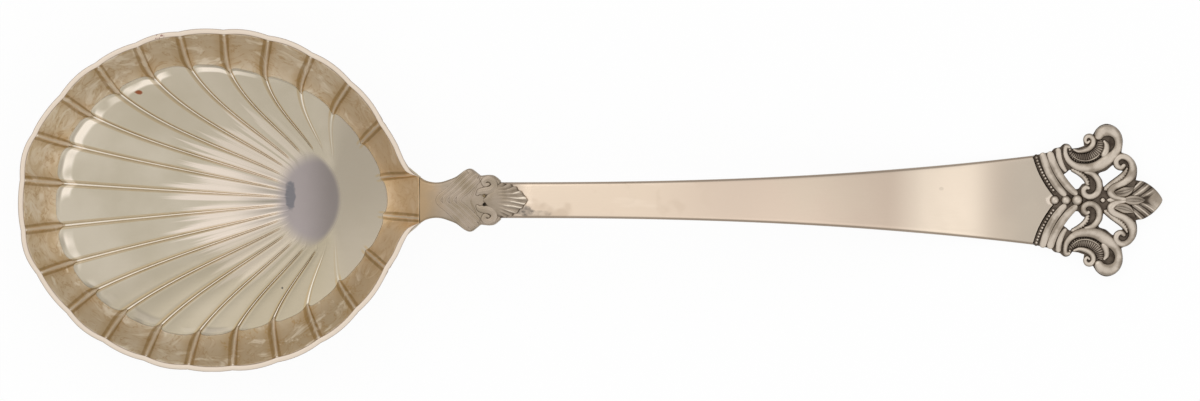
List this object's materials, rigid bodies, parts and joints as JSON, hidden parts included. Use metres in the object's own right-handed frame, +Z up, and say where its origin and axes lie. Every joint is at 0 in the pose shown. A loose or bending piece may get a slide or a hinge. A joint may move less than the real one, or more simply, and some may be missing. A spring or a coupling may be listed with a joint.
{
  "type": "sugar spoon",
  "caption": "Fluted shell-bowl sugar spoon with a soldered scroll neck, arched flat stem and openwork palmette finial.",
  "frame": {"origin": "on the table, under the middle of the spoon's bounding box", "axes": "+X along the spoon from the bowl to the finial, +Y to the left of someone who looks along +X from the bowl's tip, +Z up out of the bowl. Left in a node's name means the +Y side."},
  "size_m": [0.16, 0.048, 0.0132],
  "materials": {
    "bowl_silver": "old polished silver, gilt-brown in the wall",
    "stem_silver": "old polished silver with fine scratches",
    "relief_silver": "worn cast silver with dark recesses",
    "oxidised_silver": "blackened silver"
  },
  "bodies": {
    "root": {"bowl": "bowl_silver", "neck_plate": "relief_silver", "neck_chevrons": "relief_silver", "neck_volute_left": "relief_silver", "neck_volute_right": "relief_silver", "neck_palmette": "relief_silver", "stem": "stem_silver", "finial_plate": "relief_silver", "bead_wire_left": "relief_silver", "bead_wire_right": "relief_silver", "fan_bands_left": "relief_silver", "fan_bands_right": "relief_silver", "axis_pearls": "relief_silver", "centre_pearl": "relief_silver", "outer_scroll_left": "relief_silver", "outer_scroll_right": "relief_silver", "scroll_lining_left": "oxidised_silver", "scroll_lining_right": "oxidised_silver", "scroll_lip_left": "relief_silver", "scroll_lip_right": "relief_silver", "inner_volute_left": "relief_silver", "inner_volute_right": "relief_silver", "crest_scroll_left": "relief_silver", "crest_scroll_right": "relief_silver", "petals": "relief_silver", "tip_palmette": "relief_silver"}
  },
  "joints": []
}
